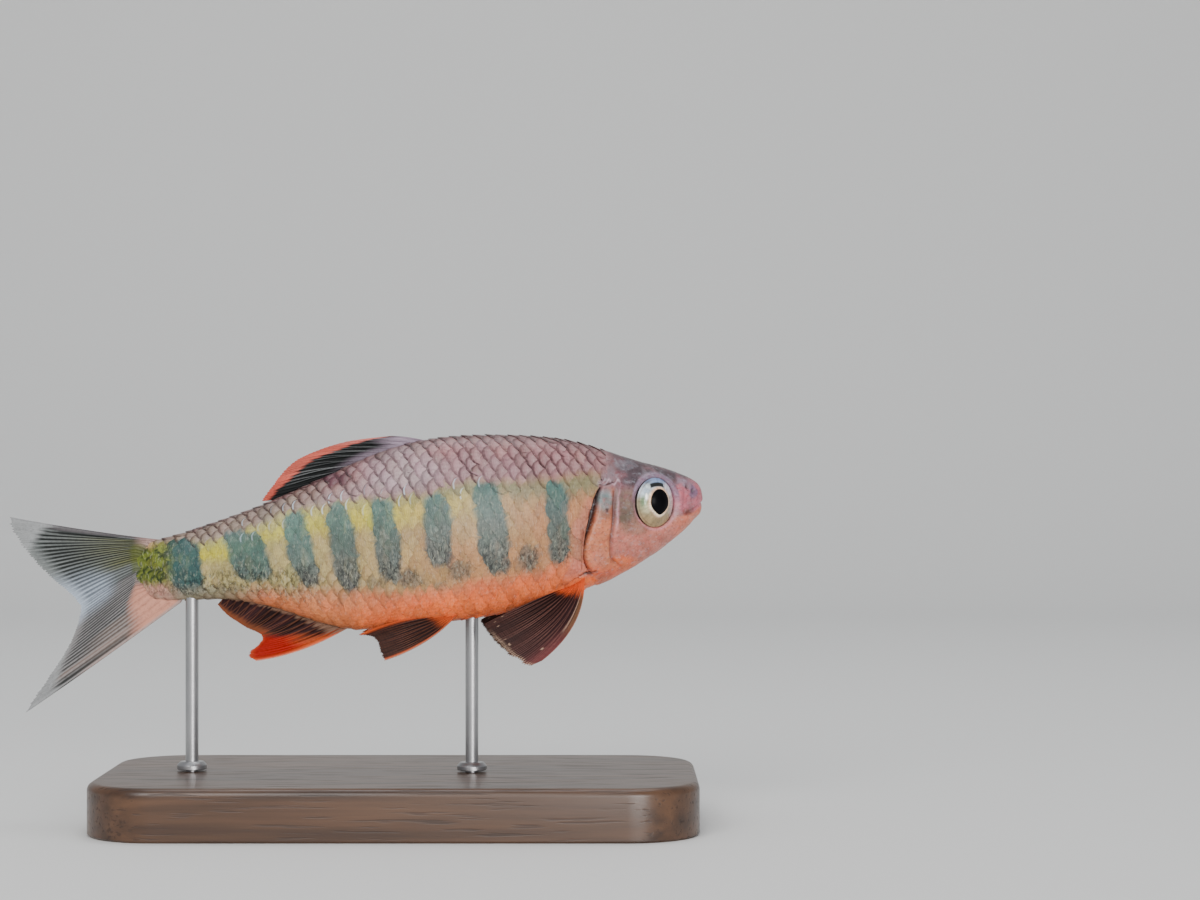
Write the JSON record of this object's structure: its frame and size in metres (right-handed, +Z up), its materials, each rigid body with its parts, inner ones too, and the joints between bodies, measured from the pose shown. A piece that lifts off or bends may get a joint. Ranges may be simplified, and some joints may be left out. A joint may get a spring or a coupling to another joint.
{
  "type": "display model of a barilius ardens minnow",
  "caption": "Life-size stream minnow, Barilius ardens, swimming with a slight bend on a flat base with short rods.",
  "frame": {"origin": "centre of the stand base's underside", "axes": "+X towards the fish's head, +Y towards the fish's left side, +Z up"},
  "size_m": [0.1097, 0.048, 0.0601],
  "materials": {
    "fish_skin": "wet scaled skin, mauve back, barred sandy flank and orange belly",
    "fin_web": "thin rayed membrane, dark with orange-red margins",
    "iris": "silvery, polished",
    "pupil": "polished black",
    "stand_wood": "dark oiled hardwood",
    "stand_steel": "satin rod"
  },
  "bodies": {
    "root": {"head": "fish_skin", "lower_jaw": "fish_skin", "torso": "fish_skin", "tail_stalk": "fish_skin", "gill_cover_left": "fish_skin", "gill_cover_right": "fish_skin", "eye_left": "iris", "eye_right": "iris", "pupil_left": "pupil", "pupil_right": "pupil", "dorsal_fin": "fin_web", "anal_fin": "fin_web", "caudal_fin_upper": "fin_web", "caudal_fin_lower": "fin_web", "pectoral_fin_left": "fin_web", "pectoral_fin_right": "fin_web", "pelvic_fin_left": "fin_web", "pelvic_fin_right": "fin_web", "stand_base": "stand_wood", "stand_rod_front": "stand_steel", "stand_rod_rear": "stand_steel"}
  },
  "joints": []
}
